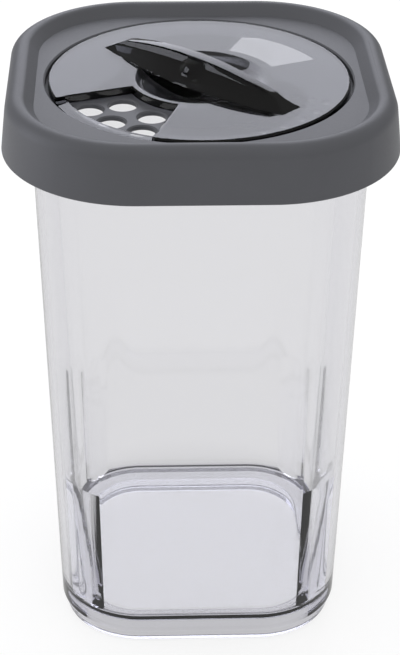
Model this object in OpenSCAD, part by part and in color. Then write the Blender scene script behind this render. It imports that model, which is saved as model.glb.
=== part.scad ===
// Spice shaker: a clear tapered jar with rounded-square walls, a push-on sifter lid with a
// seal, and a smoke-tinted dial that turns in the lid to open one of four stations.
// The part stands on its foot ring at z = 0, with the dial's axis on Z and its front towards -Y.

/* [Jar] */
// Height of the jar from the table to its rim
jar_h = 116.4; // [100:0.2:140]
// Width across the flats of the jar where its walls would meet the table
jar_foot_w = 60.2; // [56:0.2:66]
// Outward lean of the jar's walls in degrees
jar_lean = 1.55; // [1:0.05:2]
// Distance from the axis to the centre of each corner's rounding, along X and along Y
corner_c = 12.6; // [8:0.2:14]
// Thickness of the jar's walls
jar_wall = 1.5; // [1.2:0.1:2.4]
// Height of the inside floor above the table
jar_floor_z = 6.2; // [5:0.1:9]
// Thickness of the jar's floor
jar_floor_t = 2; // [1.4:0.1:2.8]
// Height of the foot, where the walls turn in
foot_h = 3.3; // [2:0.1:4]
// How far the foot leans in from the walls
foot_in = 0.9; // [0.5:0.05:1.6]
// Rounding of the foot's lower edge
foot_edge = 0.5; // [0.3:0.05:0.8]
// Width of the flat ring that the jar stands on
foot_ring = 5.7; // [2.5:0.1:7]
// Radius between the inside floor and the walls
floor_fillet = 2.4; // [0.8:0.1:3]

/* [Nesting flats] */
// Height of the top of the corner flats above the inside floor
flat_rise = 31.5; // [20:0.5:45]
// Depth of each corner flat, measured inwards from the rounded corner
flat_depth = 0.55; // [0.3:0.05:0.9]

/* [Lid] */
// How far the lid's lower edge stands out past the jar's rim
lid_overhang = 5.75; // [4.8:0.05:8]
// How far the skirt hangs below the jar's rim
skirt_drop = 5.7; // [4:0.1:9]
// Inward lean of the skirt from its lower edge to the rim's rounding
skirt_lean = 0.9; // [0.4:0.1:1.4]
// Thickness of the skirt
skirt_wall = 1.8; // [1.2:0.1:2.4]
// Height of the raised rim above the deck
rim_rise = 2.2; // [1.4:0.1:3]
// Outer radius of the raised rim
rim_round = 2.8; // [2:0.1:3.4]
// Inner radius of the raised rim
rim_soft = 1.6; // [1:0.1:2]
// Run of the rim's inner slope, from the crest to the deck
slope_run = 2.85; // [2.2:0.05:3.4]
// Width of the deck between the dial's well and the slope of the rim, at the middle of a side
deck_w = 1.7; // [1:0.1:2.5]
// Distance from the deck's edge to the hollow of the skirt
rim_web = 1.65; // [1.2:0.05:2.4]
// Height of the sifter plate's underside above the jar's rim
plate_rise = 0.6; // [0.3:0.1:1.2]
// Thickness of the sifter plate
plate_t = 1; // [0.8:0.1:2]
// Wall and floor of the cup that holds the dial's hub
cup_wall = 1; // [0.8:0.1:1.6]

/* [Plug and seal] */
// Depth of the plug below the sifter plate
plug_depth = 2.4; // [2.2:0.1:4]
// Thickness of the plug's wall
plug_wall = 2.4; // [2:0.1:3]
// Room between the plug and the inside of the jar
plug_gap = 0.45; // [0.35:0.05:0.8]
// Height of the seal ring
seal_h = 1.2; // [1:0.1:1.4]
// Depth of the seal ring's groove in the plug
seal_seat = 1.2; // [0.8:0.1:1.4]
// How far the seal ring stands out of the plug
seal_proud = 0.3; // [0.15:0.05:0.3]
// Room around the seal ring in its groove
seal_gap = 0.05; // [0.02:0.01:0.1]

/* [Sifter] */
// Diameter of the coarse holes
coarse_d = 5.6; // [4:0.1:6]
// Distance from the window's outer edge to the centres of the outer row, which has three holes
coarse_margin = 3.15; // [2.8:0.05:3.6]
// Distance between the outer row and the inner row, which has two holes
coarse_pitch = 6.6; // [6.2:0.1:7.2]
// Angle between the two coarse holes of the inner row
coarse_inner_step = 25.5; // [22:0.5:30]
// Angle between neighbouring coarse holes of the outer row
coarse_outer_step = 17; // [15:0.5:18]
// Diameter of the fine holes
fine_d = 1.4; // [0.8:0.1:1.8]
// Distance from the window's outer edge to the outermost row of fine holes
fine_margin = 0.9; // [0.4:0.1:1.4]
// Distance between neighbouring rows of fine holes
fine_pitch = 3.2; // [2.4:0.1:3.4]
// Rows of fine holes
fine_rows = 4; // [2:1:4]
// Fine holes in a row
fine_columns = 5; // [3:1:5]
// Angle between neighbouring fine holes of a row
fine_step = 10; // [8:0.5:11]
// Distance from the hub's cup to the pour opening
pour_land = 1.4; // [0.8:0.1:2]
// Distance from the window's outer edge to the outer edge of the pour opening
pour_margin = 1.2; // [0.6:0.1:2.4]
// Angle of the pour opening
pour_angle = 45; // [30:1:50]

/* [Dial] */
// Thickness of the dial's disc
dial_t = 1.6; // [1.4:0.1:2.4]
// Room between the dial's edge and its well
dial_side_gap = 0.6; // [0.3:0.05:0.7]
// Room between the dial's underside and the sifter plate
dial_under_gap = 0.2; // [0.1:0.05:0.3]
// Height of the dial's face above the deck
dial_proud = 0.2; // [0:0.05:0.5]
// Rounding of the dial's upper edge
dial_edge = 0.5; // [0.2:0.1:0.8]
// Width of the land between the hub and the window
window_land = 0.9; // [0.7:0.1:1.6]
// Width of the lowered strip between the window and the dial's edge
strip_w = 2.35; // [1.6:0.05:3]
// Angle of the window
window_angle = 52; // [40:1:56]
// Depth of the lowered strip under the dial's face
strip_drop = 0.8; // [0.4:0.1:1.2]
// Radius of the finger dish as a share of the dial's radius
dish_share = 0.421; // [0.37:0.005:0.43]
// Depth of the finger dish
dish_depth = 3; // [2:0.1:4]
// Wall between the finger dish and the outside of the hub
hub_wall = 0.6; // [0.5:0.05:0.8]
// Room between the hub and its cup
hub_gap = 0.3; // [0.2:0.05:0.4]
// Thickness of the hub under the dish
hub_floor = 1.4; // [1.2:0.1:2]
// Width of the foot of the hub, whose side slopes down from the disc
hub_foot_d = 12; // [10:0.5:16]

/* [Grip] */
// Distance from the grip's ends to the dial's edge
grip_margin = 5.95; // [3:0.05:8]
// Width of the grip's foot at its middle
grip_w = 11.2; // [9:0.2:12]
// Width of the grip's foot at its ends
grip_end_w = 5.4; // [4:0.1:6.4]
// Height of the grip's ridge above the dial's face
grip_h = 4.5; // [3.8:0.1:6]
// Drop of the ridge from its middle to the top of the sloped ends
grip_arch = 2.1; // [1.2:0.1:2.6]
// Power of the flanks' hollow curve, where 1 is a straight lean
flank_curve = 1.7; // [1:0.1:2.4]
// Width of the ridge's flat at its middle
ridge_w = 1.9; // [1.2:0.1:2.6]
// Length of the grip's sloped ends, along the dial
end_slope = 4.6; // [2:0.1:6]
// Diameter of the round post at the middle of the grip
post_d = 7.6; // [6:0.2:9]
// Drop from the ridge to the top of the post
post_drop = 0.8; // [0.5:0.1:1.4]
// Rounding of the post's top
post_round = 2.4; // [1:0.1:2.8]

/* [Pivot] */
// Diameter of the stem that turns in the lid
stem_d = 6; // [4.8:0.1:7]
// Room between the stem and its bore
stem_gap = 0.08; // [0.04:0.01:0.1]
// How far the snap head stands out over the bore's edge
snap_lip = 0.7; // [0.4:0.05:1]
// Length of the snap head
snap_h = 2.2; // [1.6:0.1:3]
// Room between the snap head and the cup, and between the hub and the cup's floor
snap_gap = 0.2; // [0.1:0.05:0.3]
// Width of the slot that lets the snap head close
snap_slot = 1.2; // [0.8:0.1:1.6]

/* [Hidden] */

$fn = 96;
// Overlap of cuts past the faces that they open
cut = 1;
// Steps in a rounding of a quarter turn
round_steps = 6;

// Directions of the four stations, seen from above
COARSE_AT = 225;
FINE_AT = 315;
POUR_AT = 45;
// Direction of the grip, across the window's direction
GRIP_AT = 135;

// Levels of the lid and dial, upwards from the jar's rim
under_z = jar_h + plate_rise;
plate_z = under_z + plate_t;
dial_z = plate_z + dial_under_gap;
dial_top = dial_z + dial_t;
deck_z = dial_top - dial_proud;
crest_z = deck_z + rim_rise;
skirt_z = jar_h - skirt_drop;

// Half-widths across the flats of the lid
lid_half = outer_half(jar_h) + lid_overhang;
rim_half = lid_half - skirt_lean;
crest_half = rim_half - rim_round;
deck_half = crest_half - slope_run;

// Radii of the dial and its well, which follow from the lid
well_r = deck_half - deck_w;
dial_r = well_r - dial_side_gap;
window_outer_r = dial_r - strip_w;
dish_r = dish_share * dial_r;
grip_half_l = dial_r - grip_margin;

// Hub, cup and pivot
hub_r = dish_r + hub_wall;
hub_z = dial_top - dish_depth - hub_floor;
hub_foot_r = hub_foot_d / 2;
cup_r = hub_r + hub_gap;
cup_floor_z = hub_z - snap_gap;
cup_z = cup_floor_z - cup_wall;
window_inner_r = hub_r + window_land;
stem_r = stem_d / 2;
snap_z = cup_z - snap_gap;

// Half-width across the flats of the foot at the table
foot_half = outer_half(foot_h) - foot_in;

// Top of the nesting flats, where each ends in a narrow ledge
flat_z = jar_floor_z + flat_rise;

// Plug and seal, fitted to the narrowest place that the plug reaches
plug_z = jar_h - plug_depth;
plug_half = inner_half(plug_z) - plug_gap;
seal_z = jar_h - (plug_depth + seal_h) / 2;

// Half-width across the flats of the jar's outside and inside at a height
function outer_half(z) = jar_foot_w / 2 + z * tan(jar_lean);
function inner_half(z) = outer_half(z) - jar_wall;

// Points along an arc from angle a to angle b
function arc(x, z, r, a, b) =
    [for (i = [0 : round_steps]) let (t = a + (b - a) * i / round_steps) [x + r * cos(t), z + r * sin(t)]];

// A rounded-square solid from a profile of half-widths and heights, with its inner end on the axis
module squared(profile) {
    shifted = [for (p = profile) [max(p[0] - corner_c, 0), p[1]]];
    heights = [for (p = profile) p[1]];
    for (q = [0 : 3]) rotate(90 * q) {
        translate([corner_c, corner_c, 0])
            rotate_extrude(angle = 90)
                polygon(shifted);
        translate([corner_c, corner_c, 0])
            rotate([90, 0, 0])
                linear_extrude(2 * corner_c)
                    polygon(shifted);
    }
    translate([-corner_c, -corner_c, min(heights)])
        cube([2 * corner_c, 2 * corner_c, max(heights) - min(heights)]);
}

// A straight rounded-square block between two heights
module squared_block(half, z0, z1) {
    squared([[0, z0], [half, z0], [half, z1], [0, z1]]);
}

// A straight rounded-square ring between two heights
module squared_ring(outer, inner, z0, z1) {
    difference() {
        squared_block(outer, z0, z1);
        squared_block(inner, z0 - cut, z1 + cut);
    }
}

// A sector of a ring, centred on a direction
module sector(r0, r1, z0, z1, at, angle) {
    rotate(at - angle / 2)
        translate([0, 0, z0])
            rotate_extrude(angle = angle)
                translate([r0, 0])
                    square([r1 - r0, z1 - z0]);
}

// What the four nesting flats take off a corner, set in by the wall for the inside of the jar
module corner_flats(z0, inset) {
    reach = 2 * outer_half(jar_h);
    face = [for (z = [z0, flat_z]) corner_c * (sqrt(2) - 1) + outer_half(z) - inset - flat_depth];
    for (q = [0 : 3])
        rotate(45 + 90 * q)
            rotate([90, 0, 0])
                linear_extrude(reach, center = true)
                    polygon([[face[0], z0], [reach, z0], [reach, flat_z], [face[1], flat_z]]);
}

// Outside of the jar as one solid, with the foot and the nesting flats
module jar_outside() {
    difference() {
        squared(concat(
            [[0, 0]],
            arc(foot_half - foot_edge, foot_edge, foot_edge, -90, 0),
            [[outer_half(foot_h), foot_h], [outer_half(jar_h), jar_h], [0, jar_h]]
        ));
        corner_flats(-cut, 0);
    }
}

// The room inside the jar, with the nesting flats at the wall's thickness from the outer ones
module jar_inside() {
    turn_z = jar_floor_z + floor_fillet;
    turn_x = inner_half(turn_z) - floor_fillet;
    difference() {
        squared(concat(
            [[0, jar_floor_z]],
            arc(turn_x, turn_z, floor_fillet, -90, 0),
            [[inner_half(jar_h + cut), jar_h + cut], [0, jar_h + cut]]
        ));
        corner_flats(jar_floor_z - cut, jar_wall);
    }
}

// Jar of clear moulded plastic
module jar() {
    color([0.86, 0.86, 0.89, 0.35])
        difference() {
            jar_outside();
            jar_inside();
            squared_block(foot_half - foot_edge - foot_ring, -cut, jar_floor_z - jar_floor_t);
        }
}

// Outside of the lid as one solid, with the soft raised rim and the deck inside it
module lid_outside() {
    slope_from = 135;
    squared(concat(
        [[0, skirt_z], [lid_half, skirt_z]],
        arc(crest_half, crest_z - rim_round, rim_round, 0, 90),
        arc(crest_half, crest_z - rim_soft, rim_soft, 90, slope_from),
        [[deck_half, deck_z], [0, deck_z]]
    ));
}

// Hollow of the skirt around the jar's rim
module skirt_hollow() {
    seat_half = deck_half + rim_web;
    roof_z = crest_z - skirt_wall;
    round_z = crest_z - rim_round;
    difference() {
        squared([
            [0, skirt_z - cut],
            [lid_half - skirt_wall, skirt_z - cut],
            [rim_half - skirt_wall, round_z],
            [crest_half, roof_z],
            [0, roof_z]
        ]);
        squared_block(seat_half, jar_h, crest_z);
    }
}

// Plug that enters the jar, with the groove for the seal
module plug() {
    difference() {
        squared_ring(plug_half, plug_half - plug_wall, plug_z, plate_z - plate_t / 2);
        squared_ring(lid_half, plug_half - seal_seat, seal_z, seal_z + seal_h);
    }
}

// Coarse holes, two in the inner row and three in the outer row
module coarse_holes() {
    outer_r = window_outer_r - coarse_margin;
    inner = [for (s = [-1, 1]) [outer_r - coarse_pitch, s * coarse_inner_step / 2]];
    outer = [for (s = [-1, 0, 1]) [outer_r, s * coarse_outer_step]];
    for (p = concat(inner, outer))
        rotate(COARSE_AT + p[1])
            translate([p[0], 0, under_z - cut])
                cylinder(d = coarse_d, h = plate_t + 2 * cut);
}

// Fine holes in rows on circles
module fine_holes() {
    for (row = [0 : fine_rows - 1], column = [0 : fine_columns - 1])
        rotate(FINE_AT + (column - (fine_columns - 1) / 2) * fine_step)
            translate([window_outer_r - fine_margin - row * fine_pitch, 0, under_z - cut])
                cylinder(d = fine_d, h = plate_t + 2 * cut);
}

// Lid of grey moulded plastic: skirt, rim, deck, dial well, sifter plate, hub cup and plug
module lid() {
    color([0.36, 0.36, 0.38])
        difference() {
            union() {
                difference() {
                    lid_outside();
                    skirt_hollow();
                    squared_block(plug_half - plug_wall, skirt_z - cut, under_z);
                }
                plug();
                translate([0, 0, cup_z])
                    cylinder(r1 = hub_foot_r + cup_wall, r2 = cup_r + cup_wall, h = plate_z - plate_t / 2 - cup_z);
            }
            translate([0, 0, plate_z])
                cylinder(r = well_r, h = rim_rise + dial_t + cut);
            rotate_extrude()
                polygon([
                    [0, cup_floor_z],
                    [hub_foot_r + hub_gap, cup_floor_z],
                    [cup_r, plate_z],
                    [cup_r, plate_z + cut],
                    [0, plate_z + cut]
                ]);
            translate([0, 0, cup_z - cut])
                cylinder(r = stem_r + stem_gap, h = cup_wall + 2 * cut);
            coarse_holes();
            fine_holes();
            sector(
                cup_r + cup_wall + pour_land,
                window_outer_r - pour_margin,
                under_z - cut,
                plate_z + cut,
                POUR_AT,
                pour_angle
            );
        }
}

// Silicone ring in the plug's groove
module seal_ring() {
    color([0.82, 0.82, 0.83])
        squared_ring(
            plug_half + seal_proud,
            plug_half - seal_seat + seal_gap,
            seal_z + seal_gap,
            seal_z + seal_h - seal_gap
        );
}

// Leaf plan of the grip, the space between two large round blocks with hollow-curved flanks
module leaf() {
    sag = (grip_w - grip_end_w) / 2;
    leaf_r = (grip_half_l * grip_half_l + sag * sag) / (2 * sag);
    lean = (grip_w - ridge_w) / 2;
    root_z = hub_z + hub_floor / 2;
    flank = [for (i = [0 : round_steps]) let (t = i / round_steps)
        [leaf_r - lean * (1 - pow(1 - t, flank_curve)), dial_top + t * grip_h]];
    intersection_for(side = [-1, 1])
        translate([0, side * (leaf_r - grip_w / 2), 0])
            rotate_extrude($fn = 4 * $fn)
                polygon(concat([[0, root_z], [leaf_r, root_z]], flank, [[0, dial_top + grip_h]]));
}

// Grip across the dial: an arched ridge with sloped ends, rooted in the disc and in the hub's floor
module grip() {
    ridge_half_l = grip_half_l - end_slope;
    end_h = grip_h - grip_arch;
    arch_r = (ridge_half_l * ridge_half_l + grip_arch * grip_arch) / (2 * grip_arch);
    peak_h = end_h * grip_half_l / end_slope;
    root_l = dish_r - hub_wall;
    root_d = dish_depth + hub_floor / 2;
    rotate(GRIP_AT)
        intersection() {
            leaf();
            translate([0, grip_w, dial_top])
                rotate([90, 0, 0])
                    linear_extrude(2 * grip_w)
                        polygon([
                            [-grip_half_l, -dial_t / 2],
                            [-root_l, -dial_t / 2],
                            [-hub_foot_r, -root_d],
                            [hub_foot_r, -root_d],
                            [root_l, -dial_t / 2],
                            [grip_half_l, -dial_t / 2],
                            [grip_half_l, 0],
                            [0, peak_h],
                            [-grip_half_l, 0]
                        ]);
            translate([0, grip_w, dial_top + grip_h - arch_r])
                rotate([90, 0, 0])
                    cylinder(r = arch_r, h = 2 * grip_w, $fn = 4 * $fn);
        }
}

// Round post that carries the grip, with a rounded top under the ridge
module post() {
    post_r = post_d / 2;
    top_z = dial_top + grip_h - post_drop;
    rotate_extrude()
        polygon(concat(
            [[0, hub_z + hub_floor / 2], [post_r, hub_z + hub_floor / 2]],
            arc(post_r - post_round, top_z - post_round, post_round, 0, 90),
            [[0, top_z]]
        ));
}

// Disc and hub of the dial before its cuts
module dial_disc() {
    rotate_extrude()
        polygon(concat(
            [[0, hub_z], [hub_foot_r, hub_z], [hub_r, dial_z], [dial_r, dial_z]],
            arc(dial_r - dial_edge, dial_top - dial_edge, dial_edge, 0, 90),
            [[0, dial_top]]
        ));
}

// Finger dish, part of a sphere
module finger_dish() {
    sphere_r = (dish_r * dish_r + dish_depth * dish_depth) / (2 * dish_depth);
    translate([0, 0, dial_top - dish_depth + sphere_r])
        sphere(r = sphere_r, $fn = 2 * $fn);
}

// Stem with its split snap head, under the hub
module pivot() {
    head_r = stem_r + snap_lip;
    difference() {
        union() {
            translate([0, 0, snap_z - cut])
                cylinder(r = stem_r, h = hub_z - snap_z + 2 * cut);
            translate([0, 0, snap_z - snap_h])
                cylinder(r1 = stem_r - snap_lip, r2 = head_r, h = snap_h);
        }
        translate([-head_r - cut, -snap_slot / 2, snap_z - snap_h - cut])
            cube([2 * (head_r + cut), snap_slot, snap_h + cut]);
    }
}

// Dial of smoke-tinted clear plastic: disc, window, finger dish, grip and pivot
module dial() {
    color([0.3, 0.3, 0.32, 0.7]) {
        difference() {
            dial_disc();
            finger_dish();
            sector(window_inner_r, window_outer_r, dial_z - cut, dial_top + cut, COARSE_AT, window_angle);
            sector(window_outer_r - cut, dial_r + cut, dial_top - strip_drop, dial_top + cut, COARSE_AT, window_angle);
        }
        grip();
        post();
        pivot();
    }
}

jar();
lid();
seal_ring();
dial();
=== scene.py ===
from math import asin, cos, degrees, hypot, pi, radians, sin, sqrt, tan

import bmesh
import bpy
from mathutils import Matrix, Vector


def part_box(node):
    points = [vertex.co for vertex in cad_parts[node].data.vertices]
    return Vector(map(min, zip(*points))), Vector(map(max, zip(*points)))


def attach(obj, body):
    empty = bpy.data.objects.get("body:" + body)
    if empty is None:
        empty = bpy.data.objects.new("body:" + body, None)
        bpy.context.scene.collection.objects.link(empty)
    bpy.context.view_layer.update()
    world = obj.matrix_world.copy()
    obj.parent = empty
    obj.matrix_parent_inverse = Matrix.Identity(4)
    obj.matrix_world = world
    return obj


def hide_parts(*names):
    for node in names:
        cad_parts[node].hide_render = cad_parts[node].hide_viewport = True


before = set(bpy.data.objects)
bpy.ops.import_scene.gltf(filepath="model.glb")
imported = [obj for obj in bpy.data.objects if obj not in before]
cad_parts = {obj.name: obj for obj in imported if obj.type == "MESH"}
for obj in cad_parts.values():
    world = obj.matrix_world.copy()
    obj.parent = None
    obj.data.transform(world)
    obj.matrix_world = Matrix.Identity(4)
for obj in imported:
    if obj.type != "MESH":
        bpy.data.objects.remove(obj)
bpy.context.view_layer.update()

# Jar: a clear styrene-acrylonitrile moulding, a rounded square that widens towards its rim.
# The walls stand on a foot ring, the floor is set up above it, and inside each corner the wall
# thickens into a shallow pad that ends at a narrow ledge.
MM = 0.001
WELD = 1e-7
jar_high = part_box("jar")[1]
RIM_Z = jar_high[2]
CORNER = 12.6 * MM  # from each middle line to the centre of a corner's rounding
JAR_LEAN = tan(radians(1.55))
BASE_HALF = jar_high[0] - RIM_Z * JAR_LEAN
JAR_WALL = 1.5 * MM
FLOOR_Z = 6.2 * MM
FLOOR_T = 2.4 * MM
FLOOR_FILLET = 1.6 * MM
FOOT_H = 3.3 * MM
FOOT_IN = 0.9 * MM
FOOT_EDGE = 0.5 * MM
FOOT_RING = 4.3 * MM
RECESS_EDGE = 0.3 * MM
RECESS_ROUND = 0.5 * MM
RIM_EDGE = 0.4 * MM
LEDGE_Z = 37.7 * MM
LEDGE_RISE = 0.02 * MM
PAD_DEPTH = 0.65 * MM  # of the corner's rounding cut off flat
PAD_SWELL = 0.75 * MM  # of the pad's middle over that flat
TIGHT = 0.15 * MM  # from a rounding to the loop that keeps its shading off the flat beside it
CORNER_STEPS = 40
ARC_STEPS = 14
JAR_SHARP = 8
JAR_TINT = "#d8d7e3"
JAR_DENSITY = 100.0  # per metre
MARK_SIZE = 9 * MM


def jar_half(z):
    """Half the jar's outer width at a height."""
    return BASE_HALF + z * JAR_LEAN


def arc(x, z, radius, start, end, steps=ARC_STEPS):
    """Points of a rounding, from one angle in degrees to another."""
    turns = [radians(start + (end - start) * i / steps) for i in range(steps + 1)]
    return [(x + radius * cos(t), z + radius * sin(t)) for t in turns]


def only(kind, geometry):
    """The vertices or the edges among what an operator gives back."""
    return [g for g in geometry if isinstance(g, kind)]


def squared(bm, profile):
    """Sweeps a chain of half-widths and heights round a rounded square."""
    chain = [bm.verts.new((half, CORNER, z)) for half, z in profile]
    front = chain + [bm.edges.new(pair) for pair in zip(chain, chain[1:])]
    for side in range(4):
        turn = Matrix.Rotation(side * pi / 2, 3, "Z")
        swept = bmesh.ops.spin(
            bm, geom=front, cent=turn @ Vector((CORNER, CORNER, 0)), axis=(0, 0, 1), angle=pi / 2,
            steps=CORNER_STEPS, use_merge=False,
        )
        ends = only(bmesh.types.BMEdge, swept["geom_last"])
        pulled = bmesh.ops.extrude_edge_only(bm, edges=ends)["geom"]
        moved = only(bmesh.types.BMVert, pulled)
        bmesh.ops.translate(bm, verts=moved, vec=turn @ Vector((-2 * CORNER, 0, 0)))
        edges = only(bmesh.types.BMEdge, pulled)
        front = moved + [e for e in edges if all(v in moved for v in e.verts)]
    bmesh.ops.remove_doubles(bm, verts=bm.verts, dist=WELD)


def inside_faces(bm):
    """The faces of the jar that look towards its axis."""
    return [f for f in bm.faces if f.normal.dot(f.calc_center_median() * Vector((1, 1, 0))) < 0]


def press_pads(bm):
    """Presses the inside of each corner into a pad, from the floor up to the ledge."""
    start = CORNER * (sqrt(2) - 1) + BASE_HALF - JAR_WALL - PAD_DEPTH
    outs = [Matrix.Rotation(radians(45 + 90 * side), 3, "Z") @ Vector((1, 0, 0)) for side in range(4)]
    for out in outs:
        faces = inside_faces(bm)
        edges = list({e for f in faces for e in f.edges})
        verts = list({v for f in faces for v in f.verts})
        normal = (out - Vector((0, 0, JAR_LEAN))).normalized()
        bmesh.ops.bisect_plane(
            bm, geom=faces + edges + verts, dist=WELD, plane_co=out * start, plane_no=normal
        )
    for v in {v for f in inside_faces(bm) for v in f.verts if v.co.z <= LEDGE_Z}:
        for out in outs:
            over = v.co.dot(out) - start - v.co.z * JAR_LEAN
            if over > 0:
                across = v.co.x * out.y - v.co.y * out.x
                round_r = BASE_HALF - JAR_WALL + v.co.z * JAR_LEAN - CORNER
                reach = round_r ** 2 - (round_r - PAD_DEPTH) ** 2
                v.co -= out * (over + PAD_SWELL * max(1 - across ** 2 / reach, 0))


def smooth(mesh, sharp_from):
    """Shades a mesh smooth, with sharp edges above an angle in degrees."""
    mesh.shade_smooth()
    mesh.set_sharp_from_angle(angle=radians(sharp_from))


def piece(name, bm, sharp_from):
    """Closes a bmesh into a smooth-shaded object."""
    bmesh.ops.recalc_face_normals(bm, faces=bm.faces)
    mesh = bpy.data.meshes.new(name)
    bm.to_mesh(mesh)
    bm.free()
    smooth(mesh, sharp_from)
    made = bpy.data.objects.new(name, mesh)
    bpy.context.scene.collection.objects.link(made)
    return made


jar_mesh = bmesh.new()
fillet_z = FLOOR_Z + FLOOR_FILLET
inner_turn = jar_half(fillet_z) - JAR_WALL - FLOOR_FILLET
foot_turn = jar_half(FOOT_H) - FOOT_IN - FOOT_EDGE
recess_half = foot_turn - FOOT_RING
ceiling_z = FLOOR_Z - FLOOR_T
wall_stops = (fillet_z + TIGHT, LEDGE_Z, LEDGE_Z + LEDGE_RISE, RIM_Z - RIM_EDGE - TIGHT)
squared(jar_mesh, (
    [(inner_turn - TIGHT, FLOOR_Z)]
    + arc(inner_turn, fillet_z, FLOOR_FILLET, -90, 0)
    + [(jar_half(z) - JAR_WALL, z) for z in wall_stops]
    + arc(jar_half(RIM_Z) - JAR_WALL + RIM_EDGE, RIM_Z - RIM_EDGE, RIM_EDGE, 180, 90)
    + arc(jar_half(RIM_Z) - RIM_EDGE, RIM_Z - RIM_EDGE, RIM_EDGE, 90, 0)
    + [(jar_half(z), z) for z in reversed(wall_stops[1:])] + [(jar_half(FOOT_H), FOOT_H)]
    + [(foot_turn + FOOT_EDGE + FOOT_IN * TIGHT / FOOT_H, FOOT_EDGE + TIGHT)]
    + arc(foot_turn, FOOT_EDGE, FOOT_EDGE, 0, -90)
    + [(foot_turn - TIGHT, 0), (recess_half + RECESS_EDGE + TIGHT, 0)]
    + arc(recess_half + RECESS_EDGE, RECESS_EDGE, RECESS_EDGE, -90, -180)
    + arc(recess_half - RECESS_ROUND, ceiling_z - RECESS_ROUND, RECESS_ROUND, 0, 90)
    + [(recess_half - RECESS_ROUND - TIGHT, ceiling_z)]
))
bmesh.ops.holes_fill(jar_mesh, edges=[e for e in jar_mesh.edges if e.is_boundary], sides=0)
bmesh.ops.recalc_face_normals(jar_mesh, faces=jar_mesh.faces)
press_pads(jar_mesh)
jar = piece("jar_moulding", jar_mesh, JAR_SHARP)


def linear(code):
    """An sRGB hex colour as linear red, green, blue and alpha."""
    parts = [int(code[i:i + 2], 16) / 255 for i in (1, 3, 5)]
    return [c / 12.92 if c <= 0.04045 else ((c + 0.055) / 1.055) ** 2.4 for c in parts] + [1.0]


def add(tree, kind, settings=None, links=None):
    """Adds a node, sets its properties and input values, and links its inputs."""
    made = tree.nodes.new(kind)
    for name, value in (settings or {}).items():
        if isinstance(name, int) or name in made.inputs:
            made.inputs[name].default_value = value
        else:
            setattr(made, name, value)
    for name, source in (links or {}).items():
        tree.links.new(source, made.inputs[name])
    return made


def material(name):
    """A new material and its empty node tree."""
    made = bpy.data.materials.new(name)
    made.use_nodes = True
    made.node_tree.nodes.clear()
    return made, made.node_tree


def clear_moulding(name, tint, density):
    """Polished clear styrene-acrylonitrile, tinted in its depth: sharp reflections, edges that look
    darker than the walls, and slight handling marks that vary the gloss from place to place."""
    made, tree = material(name)
    place = add(tree, "ShaderNodeTexCoord")
    marks = add(
        tree, "ShaderNodeTexNoise", {"Scale": 1 / MARK_SIZE, "Detail": 2.0},
        {"Vector": place.outputs["Object"]},
    )
    gloss = add(
        tree, "ShaderNodeMapRange", {"To Min": 0.005, "To Max": 0.03}, {"Value": marks.outputs["Fac"]}
    )
    plastic = add(
        tree, "ShaderNodeBsdfPrincipled",
        {"Base Color": linear("#ffffff"), "IOR": 1.57, "Transmission Weight": 1.0},
        {"Roughness": gloss.outputs["Result"]},
    )
    inside = add(tree, "ShaderNodeVolumeAbsorption", {"Color": linear(tint), "Density": density})
    add(
        tree, "ShaderNodeOutputMaterial", None,
        {"Surface": plastic.outputs["BSDF"], "Volume": inside.outputs["Volume"]},
    )
    return made


jar.data.materials.append(clear_moulding("clear_styrene_moulding", JAR_TINT, JAR_DENSITY))
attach(jar, "jar")
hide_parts("jar")

# Seal: a soft silicone ring that sits in a groove round the lid's plug and presses on the
# inside of the jar. It is moulded in one piece and stretched into place.
seal_low, seal_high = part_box("seal_ring")
SEAL_DEPTH = 1.45 * MM
SEAL_ROUND = 0.4 * MM
SEAL_STEPS = 6
SEAL_SHARP = 30
SEAL_DARK = "#c9c9cc"
SEAL_LIGHT = "#d8d8da"
SEAL_CLOUD = 3 * MM

seal_mesh = bmesh.new()
seal_out = seal_high[0]
seal_in = seal_out - SEAL_DEPTH
squared(seal_mesh, (
    [(seal_in, seal_low[2])]
    + arc(seal_out - SEAL_ROUND, seal_low[2] + SEAL_ROUND, SEAL_ROUND, -90, 0, SEAL_STEPS)
    + arc(seal_out - SEAL_ROUND, seal_high[2] - SEAL_ROUND, SEAL_ROUND, 0, 90, SEAL_STEPS)
    + [(seal_in, seal_high[2]), (seal_in, seal_low[2])]
))
seal = piece("seal_moulding", seal_mesh, SEAL_SHARP)


def silicone(name):
    """Pale translucent silicone rubber: soft, slightly cloudy and without sharp reflections."""
    made, tree = material(name)
    place = add(tree, "ShaderNodeTexCoord")
    cloud = add(
        tree, "ShaderNodeTexNoise", {"Scale": 1 / SEAL_CLOUD}, {"Vector": place.outputs["Object"]}
    )
    tone = add(
        tree, "ShaderNodeMix", {"data_type": "RGBA", "A": linear(SEAL_DARK), "B": linear(SEAL_LIGHT)},
        {"Factor": cloud.outputs["Fac"]},
    )
    rubber = add(
        tree, "ShaderNodeBsdfPrincipled",
        {"Roughness": 0.55, "IOR": 1.41, "Subsurface Weight": 0.4, "Subsurface Scale": 1.5 * MM},
        {"Base Color": tone.outputs["Result"]},
    )
    add(tree, "ShaderNodeOutputMaterial", None, {"Surface": rubber.outputs["BSDF"]})
    return made


seal.data.materials.append(silicone("pale_silicone"))
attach(seal, "lid")
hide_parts("seal_ring")

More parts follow.
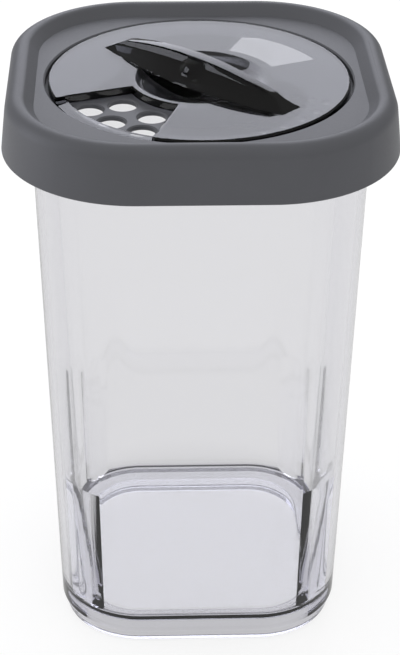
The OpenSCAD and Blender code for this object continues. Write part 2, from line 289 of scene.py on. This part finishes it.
# Lid: one matt grey polypropylene moulding. Its skirt hangs over the jar's rim, a soft raised
# rim runs round a deck, and a round well holds the dial over the sifter plate. Under the plate
# are the plug, which pushes into the jar, and a cup with the bore that the dial's stem snaps into.
lid_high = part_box("lid")[1]
LID_HALF = lid_high[0]
CREST_Z = lid_high[2]
SKIRT_Z = RIM_Z - 5.7 * MM
SKIRT_LEAN = 0.9 * MM
SKIRT_WALL = 1.8 * MM
SKIRT_EDGE = 0.5 * MM
SKIRT_FROM = 6  # degrees at which the rim's rounding runs into the skirt
RIM_ROUND = 2.8 * MM
RIM_SOFT = 1.6 * MM
RIM_RISE = 2.2 * MM
SLOPE_FROM = 135  # degrees at which the rim's rounding runs into the slope to the deck
SLOPE_RUN = 2.85 * MM
RIM_WEB = 1.65 * MM
DECK_Z = CREST_Z - RIM_RISE
DECK_W = 1.7 * MM
UNDER_Z = RIM_Z + 0.6 * MM
PLATE_Z = UNDER_Z + 1.0 * MM
PLUG_WALL = 2.4 * MM
PLUG_Z = RIM_Z - 2.4 * MM
PLUG_HALF = seal_out - 0.3 * MM
SEAL_SEAT = 1.2 * MM
CUP_R = 13.6 * MM
CUP_FOOT_R = 6.3 * MM
CUP_WALL = 1.0 * MM
CUP_FLOOR_Z = RIM_Z - 1.2 * MM
CUP_ROOT_R = 13.4 * MM
BORE_R = 3.08 * MM
EDGE = 0.3 * MM
SKIRT_STEPS = 6
PLUG_STEPS = 4
BORE_STEPS = 48
ROUND_STEPS = 160
SHARP = 25

lid_mesh = bmesh.new()
rim_half = LID_HALF - SKIRT_LEAN
crest_half = rim_half - RIM_ROUND
deck_half = crest_half - SLOPE_RUN
well_r = deck_half - DECK_W
seat_half = deck_half + RIM_WEB
round_z = CREST_Z - RIM_ROUND
roof_z = CREST_Z - SKIRT_WALL
squared(lid_mesh, (
    [(deck_half, DECK_Z)]
    + arc(crest_half, CREST_Z - RIM_SOFT, RIM_SOFT, SLOPE_FROM, 90)
    + arc(crest_half, round_z, RIM_ROUND, 90, SKIRT_FROM)[1:]
    + arc(LID_HALF - SKIRT_EDGE, SKIRT_Z + SKIRT_EDGE, SKIRT_EDGE, 0, -90, SKIRT_STEPS)
    + [(LID_HALF - SKIRT_WALL, SKIRT_Z), (rim_half - SKIRT_WALL, round_z), (crest_half, roof_z)]
    + [(seat_half, roof_z), (seat_half, RIM_Z), (PLUG_HALF, RIM_Z)]
    + [(PLUG_HALF, seal_high[2]), (PLUG_HALF - SEAL_SEAT, seal_high[2])]
    + [(PLUG_HALF - SEAL_SEAT, seal_low[2]), (PLUG_HALF, seal_low[2])]
    + arc(PLUG_HALF - EDGE, PLUG_Z + EDGE, EDGE, 0, -90, PLUG_STEPS)
    + [(PLUG_HALF - PLUG_WALL, PLUG_Z), (PLUG_HALF - PLUG_WALL, UNDER_Z)]
))
open_loops = [e for e in lid_mesh.edges if e.is_boundary]
deck_loop = [e for e in open_loops if e.verts[0].co.z > PLATE_Z]
plug_loop = [e for e in open_loops if e.verts[0].co.z < PLATE_Z]


def ring(bm, radius, z, at=(0.0, 0.0), steps=ROUND_STEPS):
    """A circle of edges round a point."""
    made = bmesh.ops.create_circle(
        bm, segments=steps, radius=radius, matrix=Matrix.Translation((at[0], at[1], z))
    )
    return list({e for v in made["verts"] for e in v.link_edges})


def wall(bm, edges, z, scale=1.0, at=(0.0, 0.0)):
    """Draws a loop of edges to another height, and to another size about a point."""
    pulled = bmesh.ops.extrude_edge_only(bm, edges=edges)["geom"]
    verts = only(bmesh.types.BMVert, pulled)
    for v in verts:
        v.co = (at[0] + (v.co.x - at[0]) * scale, at[1] + (v.co.y - at[1]) * scale, z)
    return [e for e in only(bmesh.types.BMEdge, pulled) if all(v in verts for v in e.verts)]


def skin(bm, edges):
    """Fills the flat between loops of edges."""
    bmesh.ops.triangle_fill(bm, use_beauty=True, edges=edges)


well_edge = ring(lid_mesh, well_r + EDGE, DECK_Z)
skin(lid_mesh, deck_loop + well_edge)
well_lip = wall(lid_mesh, well_edge, DECK_Z - EDGE, well_r / (well_r + EDGE))
plate_edge = wall(lid_mesh, well_lip, PLATE_Z)
cup_edge = ring(lid_mesh, CUP_R, PLATE_Z)
skin(lid_mesh, plate_edge + cup_edge)
cup_inside = wall(lid_mesh, cup_edge, CUP_FLOOR_Z, CUP_FOOT_R / CUP_R)
bore_top = ring(lid_mesh, BORE_R, CUP_FLOOR_Z, steps=BORE_STEPS)
skin(lid_mesh, cup_inside + bore_top)
bore_under = wall(lid_mesh, bore_top, CUP_FLOOR_Z - CUP_WALL)
cup_root = ring(lid_mesh, CUP_ROOT_R, UNDER_Z)
skin(lid_mesh, plug_loop + cup_root)
cup_foot = wall(lid_mesh, cup_root, CUP_FLOOR_Z - CUP_WALL, (CUP_FOOT_R + CUP_WALL) / CUP_ROOT_R)
skin(lid_mesh, cup_foot + bore_under)
bmesh.ops.remove_doubles(lid_mesh, verts=lid_mesh.verts, dist=WELD)
lid = piece("lid_moulding", lid_mesh, SHARP)

WINDOW_AT = 225
STRIP_W = 2.35 * MM
COARSE_AT = WINDOW_AT
COARSE_R = 2.8 * MM
COARSE_INSET = 3.15 * MM
COARSE_APART = 6.6 * MM
COARSE_INNER_TURNS = (-12.75, 12.75)
COARSE_OUTER_TURNS = (-17, 0, 17)
COARSE_STEPS = 40
FINE_AT = 315
FINE_R = 0.9 * MM
FINE_FLARE = 0.85  # widening of a fine hole under its neck, for each length down
FINE_INSET = 0.9 * MM
FINE_APART = 3.2 * MM
FINE_ROWS = 4
FINE_TURNS = (-20, -10, 0, 10, 20)
FINE_STEPS = 16
HOLE_EDGE = 0.25 * MM
POUR_AT = 45
POUR_ANGLE = 45
POUR_CLEAR = 1.4 * MM
POUR_INSET = 1.2 * MM
POUR_STEPS = 24
PAST = 1 * MM  # how far a cutter reaches past what it cuts

dial_low, dial_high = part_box("dial")
window_out = dial_high[0] - STRIP_W
coarse_out = window_out - COARSE_INSET
coarse_in = coarse_out - COARSE_APART
fine_out = window_out - FINE_INSET
pour_in = CUP_R + CUP_WALL + POUR_CLEAR
pour_out = window_out - POUR_INSET
holes = [(coarse_in, COARSE_AT + turn, COARSE_R, COARSE_STEPS, 0) for turn in COARSE_INNER_TURNS]
holes += [(coarse_out, COARSE_AT + turn, COARSE_R, COARSE_STEPS, 0) for turn in COARSE_OUTER_TURNS]
for row in range(FINE_ROWS):
    fine_row = fine_out - row * FINE_APART
    holes += [(fine_row, FINE_AT + turn, FINE_R, FINE_STEPS, FINE_FLARE) for turn in FINE_TURNS]


def sector(bm, inner, outer, z, at, angle, steps):
    """The outline of part of a ring, centred on a direction in degrees."""
    turn = radians(at - angle / 2)
    rim = [bm.verts.new((r * cos(turn), r * sin(turn), z)) for r in (inner, outer)]
    start = bm.edges.new(rim)
    before = set(bm.faces)
    bmesh.ops.spin(
        bm, geom=rim + [start], cent=(0, 0, 0), axis=(0, 0, 1), angle=radians(angle), steps=steps
    )
    faces = [f for f in bm.faces if f not in before]
    edges = [e for e in {e for f in faces for e in f.edges} if e.is_boundary]
    bmesh.ops.delete(bm, geom=faces, context="FACES_KEEP_BOUNDARY")
    return edges


def cut(body, tool, operation):
    """Joins a tool to a body or cuts it away, and keeps only the result."""
    step = body.modifiers.new(operation.lower(), "BOOLEAN")
    step.operation = operation
    step.object = tool
    step.solver = "EXACT"
    graph = bpy.context.evaluated_depsgraph_get()
    result = bpy.data.meshes.new_from_object(body.evaluated_get(graph))
    body.modifiers.clear()
    body.data = result
    bpy.data.objects.remove(tool)


for number, (reach, turn, radius, steps, opening) in enumerate(holes):
    spot = (reach * cos(radians(turn)), reach * sin(radians(turn)))
    neck_z = PLATE_Z - HOLE_EDGE
    low_r = radius + opening * (neck_z - UNDER_Z + PAST)
    hole_mesh = bmesh.new()
    low_edge = ring(hole_mesh, low_r, UNDER_Z - PAST, spot, steps)
    skin(hole_mesh, low_edge)
    neck = wall(hole_mesh, low_edge, neck_z, radius / low_r, spot)
    top = wall(hole_mesh, neck, PLATE_Z + HOLE_EDGE, (radius + 2 * HOLE_EDGE) / radius, spot)
    skin(hole_mesh, top)
    cut(lid, piece(f"hole_cutter_{number}", hole_mesh, SHARP), "DIFFERENCE")
pour_mesh = bmesh.new()
pour_low = sector(pour_mesh, pour_in, pour_out, UNDER_Z - PAST, POUR_AT, POUR_ANGLE, POUR_STEPS)
skin(pour_mesh, pour_low)
skin(pour_mesh, wall(pour_mesh, pour_low, PLATE_Z + PAST))
cut(lid, piece("pour_cutter", pour_mesh, SHARP), "DIFFERENCE")
smooth(lid.data, SHARP)

LID_DARK = "#545559"
LID_LIGHT = "#5c5d62"
LID_CLOUD = 14 * MM
GRAIN_SIZE = 0.5 * MM
GRAIN_DEPTH = 0.05 * MM


def matt_moulding(name):
    """Polypropylene from a spark-eroded mould: a fine even grain, drawn here at 0.5 mm so that it
    shows, with soft highlights and a slight cloudiness in the grey."""
    made, tree = material(name)
    place = add(tree, "ShaderNodeTexCoord")
    cloud = add(
        tree, "ShaderNodeTexNoise", {"Scale": 1 / LID_CLOUD, "Detail": 3.0},
        {"Vector": place.outputs["Object"]},
    )
    tone = add(
        tree, "ShaderNodeMix", {"data_type": "RGBA", "A": linear(LID_DARK), "B": linear(LID_LIGHT)},
        {"Factor": cloud.outputs["Fac"]},
    )
    grain = add(
        tree, "ShaderNodeTexNoise", {"Scale": 1 / GRAIN_SIZE, "Detail": 2.0},
        {"Vector": place.outputs["Object"]},
    )
    bumps = add(
        tree, "ShaderNodeBump", {"Strength": 0.12, "Distance": GRAIN_DEPTH},
        {"Height": grain.outputs["Fac"]},
    )
    gloss = add(
        tree, "ShaderNodeMapRange", {"To Min": 0.42, "To Max": 0.52}, {"Value": grain.outputs["Fac"]}
    )
    plastic = add(
        tree, "ShaderNodeBsdfPrincipled", {"IOR": 1.49},
        {"Base Color": tone.outputs["Result"], "Roughness": gloss.outputs["Result"],
         "Normal": bumps.outputs["Normal"]},
    )
    add(tree, "ShaderNodeOutputMaterial", None, {"Surface": plastic.outputs["BSDF"]})
    return made


lid.data.materials.clear()
lid.data.materials.append(matt_moulding("matt_grey_polypropylene"))
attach(lid, "lid")
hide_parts("lid")

# Dial: one smoke-tinted clear moulding that turns in the lid's well. A keystone window opens
# one station at a time, and an arched leaf-shaped grip on a round post stands across a shallow
# finger dish. A stem under the hub snaps into the lid.
DIAL_R = dial_high[0]
DIAL_T = 1.6 * MM
DIAL_Z = PLATE_Z + 0.2 * MM
FACE_Z = DIAL_Z + DIAL_T
DIAL_EDGE = 0.5 * MM
DISH_R = 12.7 * MM
DISH_DEPTH = 3.0 * MM
DISH_EDGE = 0.35 * MM
DISH_LIP = DISH_EDGE / 3
HUB_R = 13.3 * MM
HUB_FOOT_R = 6.0 * MM
HUB_Z = FACE_Z - DISH_DEPTH - 1.4 * MM
STEM_R = 3.0 * MM
SNAP_LIP = 0.7 * MM
SNAP_Z = HUB_Z - 1.4 * MM
DISH_STEPS = 20
DIAL_EDGE_STEPS = 8
DIAL_STEPS = 180
DIAL_TINT = "#5c5e6a"
DIAL_DENSITY = 560.0  # per metre


def spun(bm, profile, steps):
    """Turns a chain of radii and heights into a closed round solid."""
    chain = [bm.verts.new((r, 0, z)) for r, z in profile]
    edges = [bm.edges.new(pair) for pair in zip(chain, chain[1:])]
    bmesh.ops.spin(
        bm, geom=chain + edges, cent=(0, 0, 0), axis=(0, 0, 1), angle=2 * pi, steps=steps, use_merge=True
    )
    bmesh.ops.remove_doubles(bm, verts=bm.verts, dist=WELD)


dish_ball = (DISH_R ** 2 + DISH_DEPTH ** 2) / (2 * DISH_DEPTH)
dish_end = asin(DISH_R / dish_ball)
dish_turns = [dish_end * i / DISH_STEPS for i in range(DISH_STEPS)]
dish = [(dish_ball * sin(t), FACE_Z - DISH_DEPTH + dish_ball * (1 - cos(t))) for t in dish_turns]
dial_mesh = bmesh.new()
spun(dial_mesh, (
    dish
    + [(DISH_R, FACE_Z - DISH_LIP), (DISH_R + DISH_EDGE, FACE_Z)]
    + [(DISH_R + DISH_EDGE + TIGHT, FACE_Z), (DIAL_R - DIAL_EDGE - TIGHT, FACE_Z)]
    + arc(DIAL_R - DIAL_EDGE, FACE_Z - DIAL_EDGE, DIAL_EDGE, 90, 0, DIAL_EDGE_STEPS)
    + [(DIAL_R, DIAL_Z + EDGE), (DIAL_R - EDGE, DIAL_Z), (HUB_R, DIAL_Z), (HUB_FOOT_R, HUB_Z)]
    + [(STEM_R, HUB_Z), (STEM_R, SNAP_Z), (STEM_R + SNAP_LIP, SNAP_Z)]
    + [(STEM_R - SNAP_LIP, dial_low[2]), (0, dial_low[2])]
), DIAL_STEPS)
dial = piece("dial_moulding", dial_mesh, SHARP)

WINDOW_IN = HUB_R + 0.9 * MM
WINDOW_ANGLE = 52
WINDOW_EDGE = 0.25 * MM
WINDOW_STEPS = 32

window_mesh = bmesh.new()
flare = degrees(4 * WINDOW_EDGE / (WINDOW_IN + window_out))
lower = sector(
    window_mesh, WINDOW_IN, window_out, DIAL_Z - PAST, WINDOW_AT, WINDOW_ANGLE, WINDOW_STEPS
)
skin(window_mesh, lower)
middle = wall(window_mesh, lower, FACE_Z - WINDOW_EDGE)
upper = sector(
    window_mesh, WINDOW_IN - WINDOW_EDGE, window_out + WINDOW_EDGE, FACE_Z, WINDOW_AT,
    WINDOW_ANGLE + flare, WINDOW_STEPS
)
bmesh.ops.bridge_loops(window_mesh, edges=middle + upper)
skin(window_mesh, wall(window_mesh, upper, FACE_Z + PAST))
cut(dial, piece("window_cutter", window_mesh, SHARP), "DIFFERENCE")

STRIP_DROP = 0.8 * MM
STRIP_FALL = 0.2 * MM

strip_mesh = bmesh.new()
strip_low = sector(
    strip_mesh, window_out - PAST, DIAL_R + PAST, FACE_Z, WINDOW_AT, WINDOW_ANGLE, WINDOW_STEPS
)
skin(strip_mesh, wall(strip_mesh, strip_low, FACE_Z + PAST))
for v in {v for e in strip_low for v in e.verts}:
    v.co.z -= STRIP_DROP + STRIP_FALL * (hypot(v.co.x, v.co.y) - window_out) / STRIP_W
skin(strip_mesh, strip_low)
cut(dial, piece("strip_cutter", strip_mesh, SHARP), "DIFFERENCE")

GRIP_AT = 135
GRIP_HALF = DIAL_R - 5.95 * MM
GRIP_W = 5.6 * MM
GRIP_END_W = 2.7 * MM
GRIP_END_H = 0.02 * MM
GRIP_H = dial_high[2] - FACE_Z
GRIP_ARCH = 2.1 * MM
GRIP_ROOT = 0.6 * MM
FLANK_CURVE = 1.7
RIDGE_W = 0.95 * MM
RIDGE_SOFT = 0.9 * MM
RIDGE_CROWN = 0.04 * MM
CROWN_FROM = GRIP_H / 4
END_SLOPE = 4.6 * MM
POST_R = 3.8 * MM
POST_TOP = GRIP_H - 0.8 * MM
POST_ROUND = 2.4 * MM
POST_SOFT = 0.5 * MM
GRIP_STEPS = 160
GRIP_ACROSS = 8
GRIP_CUTS = 23
LAST_CUT = GRIP_CUTS / (GRIP_CUTS + 1)
GRIP_EVEN = 0.4  # share of the steps that is even, where the rest gathers in the middle


def ridge_height(u):
    """Height of the ridge along the grip: a flat arch with sloped ends."""
    ridge_half = GRIP_HALF - END_SLOPE
    radius = (ridge_half ** 2 + GRIP_ARCH ** 2) / (2 * GRIP_ARCH)
    arch = GRIP_H - radius + sqrt(radius ** 2 - u ** 2)
    slope = (GRIP_H - GRIP_ARCH) * (GRIP_HALF - abs(u)) / END_SLOPE
    return max(min(arch, slope), GRIP_END_H)


def foot_depth(u):
    """Depth of the grip's foot below the dial's face: just under the dish, or in the disc."""
    return max(DISH_DEPTH * (1 - (u / DISH_R) ** 2), 0) + GRIP_ROOT


def soft_max(a, b, soft):
    """The larger of two lengths, with a rounding where they are nearly the same."""
    return max(a, b) + max(soft - abs(a - b), 0) ** 2 / (4 * soft)


def flank(u, h):
    """Half-width of the grip at a height over the face, with the post swelling out of its middle."""
    sag = GRIP_W - GRIP_END_W
    radius = (GRIP_HALF ** 2 + sag ** 2) / (2 * sag)
    lean = (GRIP_W - RIDGE_W) * (1 - (1 - max(h, 0) / GRIP_H) ** FLANK_CURVE)
    leaf = sqrt((radius - lean) ** 2 - u ** 2) - radius + GRIP_W
    over = max(h - POST_TOP + POST_ROUND, 0) / POST_ROUND
    post_r = POST_R - POST_ROUND + POST_ROUND * sqrt(1 - over ** 2) if over < 1 else 0
    post = sqrt(max(post_r ** 2 - u ** 2, 0))
    return soft_max(soft_max(leaf, post, POST_SOFT), RIDGE_W, RIDGE_SOFT)


grip_mesh = bmesh.new()
bmesh.ops.create_grid(grip_mesh, x_segments=GRIP_STEPS, y_segments=GRIP_ACROSS, size=1.0)
grip_top = bmesh.ops.extrude_face_region(grip_mesh, geom=grip_mesh.faces[:])["geom"]
bmesh.ops.translate(grip_mesh, verts=only(bmesh.types.BMVert, grip_top), vec=(0, 0, 1))
uprights = [e for e in grip_mesh.edges if e.verts[0].co.z != e.verts[1].co.z]
bmesh.ops.subdivide_edges(grip_mesh, edges=uprights, cuts=GRIP_CUTS, use_grid_fill=True)
for v in grip_mesh.verts:
    u = GRIP_HALF * (GRIP_EVEN * v.co.x + (1 - GRIP_EVEN) * v.co.x ** 3)
    low, high = -foot_depth(u), ridge_height(u)
    h = low + (high - low) * v.co.z
    on_ridge = v.co.z > LAST_CUT + WELD and high > CROWN_FROM
    crown = RIDGE_CROWN * v.co.y ** 2 if on_ridge else 0
    v.co = (u, v.co.y * flank(u, h), FACE_Z + h - crown)
bmesh.ops.rotate(
    grip_mesh, verts=grip_mesh.verts, cent=(0, 0, 0), matrix=Matrix.Rotation(radians(GRIP_AT), 3, "Z")
)
cut(dial, piece("grip", grip_mesh, SHARP), "UNION")
smooth(dial.data, SHARP)

# The same polished plastic as the jar's, with a smoke tint that looks grey in the thin disc and
# nearly black in the thick grip.
dial.data.materials.clear()
dial.data.materials.append(clear_moulding("smoke_styrene_moulding", DIAL_TINT, DIAL_DENSITY))
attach(dial, "dial")
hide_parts("dial")

# Table: a plain white sheet that keeps the shaker's soft shadow. It lies a hair below the foot,
# so that the foot's underside meets air. Through clear plastic and in reflections it glows, with a
# painted shadow under the jar.
TABLE_SIZE = 3.0
TABLE_GAP = 0.05 * MM
TABLE_WHITE = "#f2f2f2"
TABLE_BOUNCE = "#bcbcbc"
TABLE_GLOW = 1.07
GLOW_SHARE = 0.75
# Painted shadow in the glow seen through clear plastic: dimmest near the jar's axis, full beyond
# SHADE_TO
SHADE_FROM = 25 * MM
SHADE_TO = 50 * MM
SHADE_UNDER = 0.62
SHADE_ROUND = 0.8

table_mesh = bmesh.new()
table_place = Matrix.Translation((0, 0, -TABLE_GAP))
bmesh.ops.create_grid(table_mesh, x_segments=1, y_segments=1, size=TABLE_SIZE, matrix=table_place)
table = piece("table", table_mesh, SHARP)


def white_sheet(name):
    """Matt white card: plain white to the eye, with the shadow soft on it. Through clear plastic and
    in reflections it is a pale grey glow, with a painted shadow that dims it under the jar."""
    made, tree = material(name)
    path = add(tree, "ShaderNodeLightPath")
    through = add(
        tree, "ShaderNodeMath", {"operation": "MAXIMUM"},
        {0: path.outputs["Is Glossy Ray"], 1: path.outputs["Is Transmission Ray"]},
    )
    dull = add(tree, "ShaderNodeBsdfDiffuse", {"Color": linear(TABLE_BOUNCE)})
    matt = add(tree, "ShaderNodeBsdfDiffuse", {"Color": linear(TABLE_WHITE)})
    glow = add(tree, "ShaderNodeEmission", {"Strength": TABLE_GLOW})
    seen = add(
        tree, "ShaderNodeMixShader", {0: GLOW_SHARE},
        {1: matt.outputs["BSDF"], 2: glow.outputs["Emission"]},
    )
    place = add(tree, "ShaderNodeTexCoord")
    reach = add(tree, "ShaderNodeVectorMath", {"operation": "LENGTH"}, {0: place.outputs["Object"]})
    # painted shadow: the glow's strength falls towards the middle, under the jar
    shade = add(
        tree, "ShaderNodeMapRange",
        {"From Min": SHADE_FROM, "From Max": SHADE_TO, "To Min": SHADE_UNDER, "To Max": SHADE_ROUND},
        {"Value": reach.outputs["Value"]},
    )
    painted_shade_glow = add(tree, "ShaderNodeEmission", None, {"Strength": shade.outputs["Result"]})
    sheet = add(
        tree, "ShaderNodeMixShader", None,
        {0: path.outputs["Is Camera Ray"], 1: dull.outputs["BSDF"], 2: seen.outputs["Shader"]},
    )
    mixed = add(
        tree, "ShaderNodeMixShader", None,
        {0: through.outputs[0], 1: sheet.outputs["Shader"], 2: painted_shade_glow.outputs["Emission"]},
    )
    add(tree, "ShaderNodeOutputMaterial", None, {"Surface": mixed.outputs["Shader"]})
    return made


table.data.materials.append(white_sheet("white_table"))

# Light: an even white studio, with a wide soft panel behind the shaker, which shows in the dial,
# and a smaller one at its left.
SKY_LEVEL = 0.9
SKY_SEEN = (("Is Transmission Ray", 0.2), ("Is Glossy Ray", 0.25), ("Is Camera Ray", 1.0))
LAMP_TINT = "#f1f3ff"

world = bpy.data.worlds.new("white_studio")
bpy.context.scene.world = world
world.use_nodes = True
studio = world.node_tree
studio.nodes.clear()
path = add(studio, "ShaderNodeLightPath")
level = None
for ray, value in SKY_SEEN:
    step = add(studio, "ShaderNodeMix", {"A": SKY_LEVEL, "B": value}, {"Factor": path.outputs[ray]})
    if level:
        studio.links.new(level, step.inputs["A"])
    level = step.outputs["Result"]
sky = add(studio, "ShaderNodeBackground", {"Color": linear("#ffffff")}, {"Strength": level})
add(studio, "ShaderNodeOutputWorld", None, {"Surface": sky.outputs["Background"]})


def panel(name, place, target, size, power):
    """A soft rectangular lamp that faces a point."""
    lamp = bpy.data.lights.new(name, "AREA")
    lamp.shape = "RECTANGLE"
    lamp.size, lamp.size_y = size
    lamp.energy = power
    lamp.color = linear(LAMP_TINT)[:3]
    made = bpy.data.objects.new(name, lamp)
    made.location = place
    made.rotation_euler = (Vector(target) - Vector(place)).to_track_quat("-Z", "Y").to_euler()
    bpy.context.scene.collection.objects.link(made)


panel("back_panel", place=(0, 0.75, 0.46), target=(0, 0, 0.12), size=(0.6, 0.5), power=1.9)
panel("left_panel", place=(-0.6, 0.06, 0.24), target=(0, 0, 0.1), size=(0.35, 0.5), power=0.9)

# Camera: the photograph's view, a little to the left of the front and from above.
# Its lens and shift are worked out from the photograph's frame in pixels.
VIEW_AZIMUTH = -2.07
VIEW_ELEVATION = 30.62
VIEW_ROLL = 0.41
VIEW_DISTANCE = 0.4095
VIEW_HEIGHT = 0.0631
FOCAL_PIXELS = 1911
FRAME_W, FRAME_H = 400, 655
AXIS_X, AXIS_Y = 197.6, 321.3
SENSOR = 36.0
NEAREST = 0.01

az, el = radians(VIEW_AZIMUTH), radians(VIEW_ELEVATION)
back = Vector((sin(az) * cos(el), -cos(az) * cos(el), sin(el)))
lens = bpy.data.cameras.new("camera")
lens.sensor_width = SENSOR
lens.lens = FOCAL_PIXELS / FRAME_H * SENSOR
lens.shift_x = (FRAME_W / 2 - AXIS_X) / FRAME_H
lens.shift_y = (AXIS_Y - FRAME_H / 2) / FRAME_H
lens.clip_start = NEAREST
camera = bpy.data.objects.new("camera", lens)
camera.location = Vector((0, 0, VIEW_HEIGHT)) + back * VIEW_DISTANCE
camera.rotation_euler = (-back).to_track_quat("-Z", "Y").to_euler()
camera.rotation_euler.rotate_axis("Z", radians(VIEW_ROLL))
bpy.context.scene.collection.objects.link(camera)
bpy.context.scene.camera = camera
bpy.context.scene.view_settings.view_transform = "Standard"
